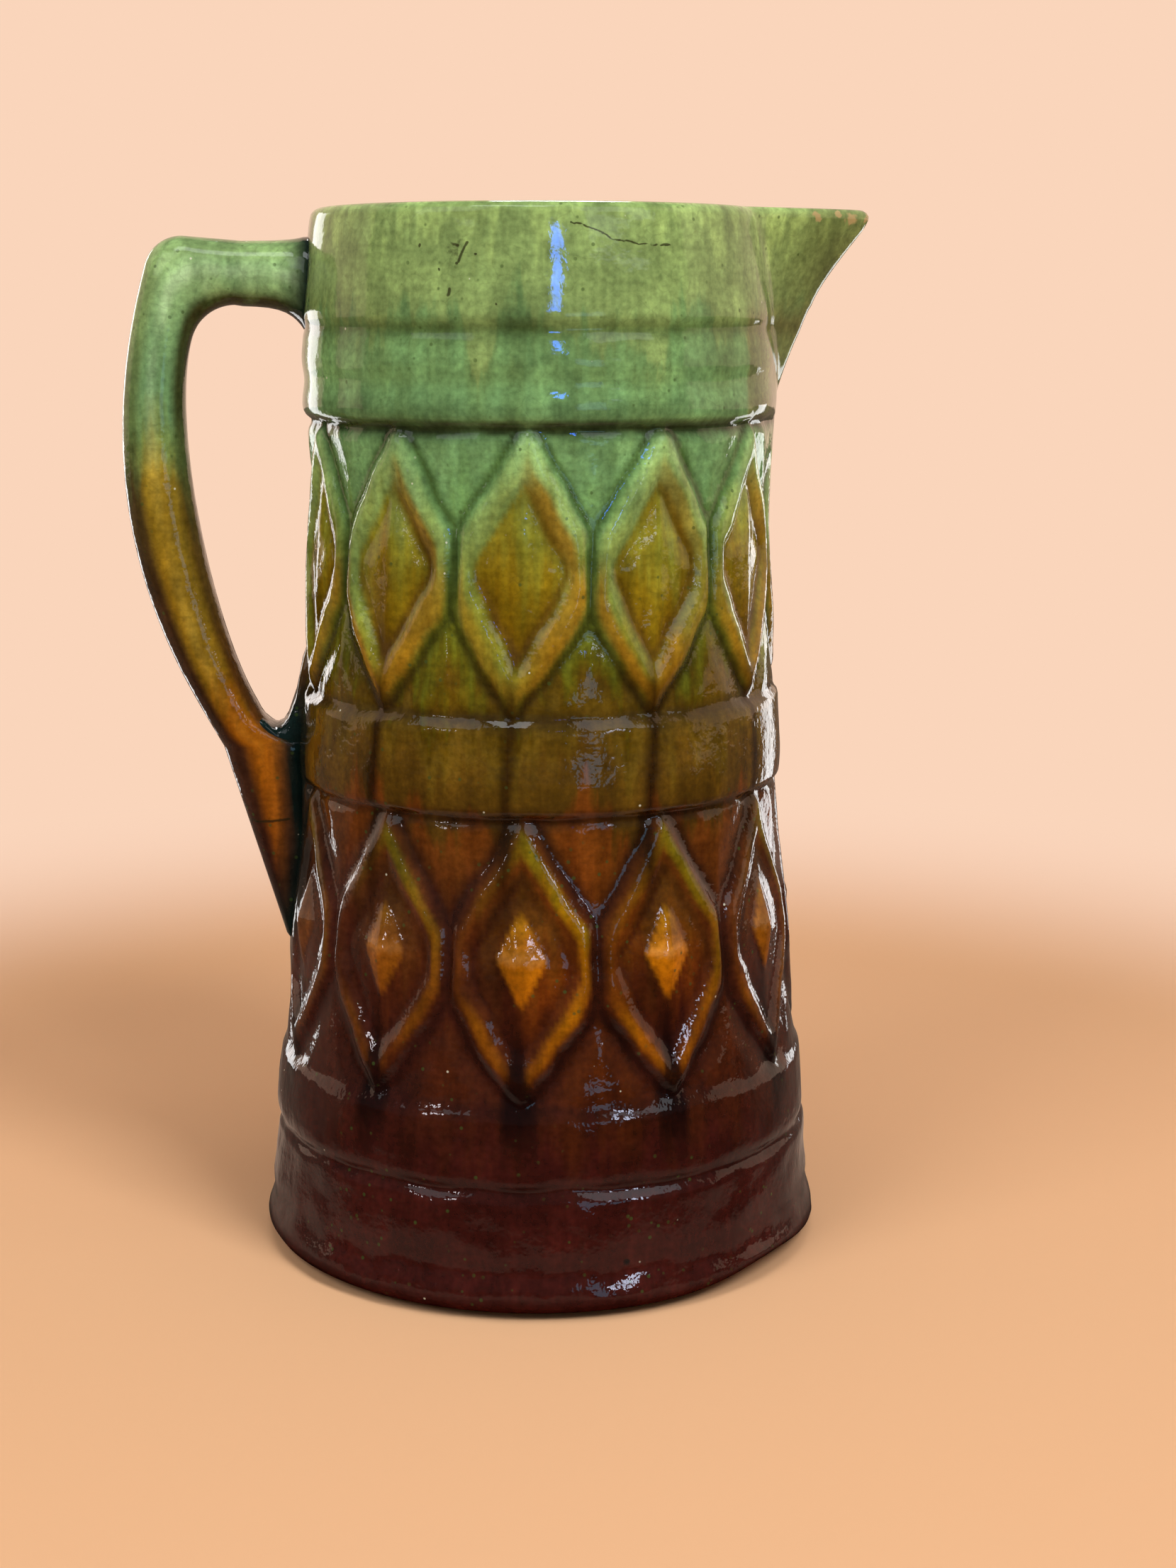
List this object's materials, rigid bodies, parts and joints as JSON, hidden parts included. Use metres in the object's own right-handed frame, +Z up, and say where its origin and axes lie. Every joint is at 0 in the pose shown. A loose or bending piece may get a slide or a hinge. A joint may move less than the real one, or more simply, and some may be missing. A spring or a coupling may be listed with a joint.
{
  "type": "pouring jug",
  "caption": "Tall press-moulded earthenware jug with a beak spout, loop handle, two tiers of raised lozenges and a runny green-to-brown glaze.",
  "frame": {"origin": "on the jug's axis, in the plane of the foot ring that stands on the table", "axes": "+Z up along the jug's axis, +X towards the spout, so the handle is on -X and the mould seam lies in the XZ plane"},
  "size_m": [0.17, 0.1324, 0.24],
  "materials": {
    "body_glaze": "gloss",
    "green_glaze": "gloss",
    "amber_glaze": "gloss",
    "bare_clay": "matte"
  },
  "bodies": {
    "root": {"near_wall": "body_glaze", "far_wall": "body_glaze", "base_slab": "bare_clay", "spout": "green_glaze", "spout_lute": "green_glaze", "handle": "amber_glaze", "upper_handle_lute": "green_glaze", "lower_handle_lute": "amber_glaze"}
  },
  "joints": []
}
